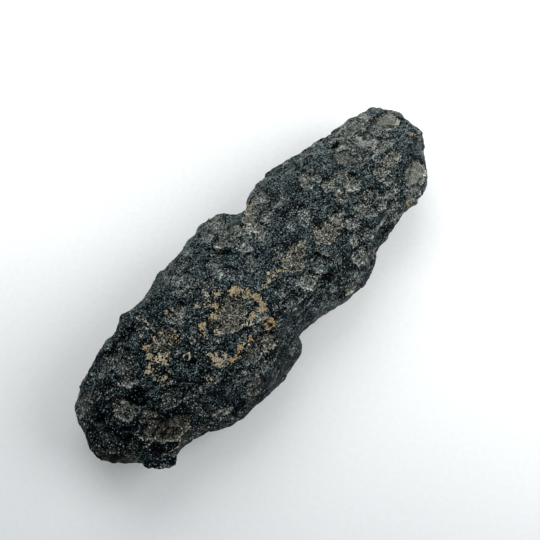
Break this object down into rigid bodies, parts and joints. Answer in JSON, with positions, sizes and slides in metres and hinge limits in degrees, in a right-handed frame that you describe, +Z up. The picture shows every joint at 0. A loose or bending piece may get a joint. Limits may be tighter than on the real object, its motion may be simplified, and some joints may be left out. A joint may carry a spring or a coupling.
{
  "type": "tektite",
  "caption": "Elongated splash-form tektite of black natural glass, tapered at its far end, with shallow bowl-shaped pits, ledges and a side notch all over, lying on its flatter side.",
  "frame": {"origin": "under the middle of the stone's box, on the surface that it lies on", "axes": "+X along the stone's length towards its tapered end, +Y across it towards the side with the notch, +Z up, through its thickness"},
  "size_m": [0.0804, 0.0272, 0.0212],
  "materials": {
    "tektite_glass": "black natural glass, etched to a satin, finely granular skin, with warmer grey-brown pit floors and a little tan clay left in the hollows"
  },
  "bodies": {
    "root": {"tektite": "tektite_glass"}
  },
  "joints": []
}
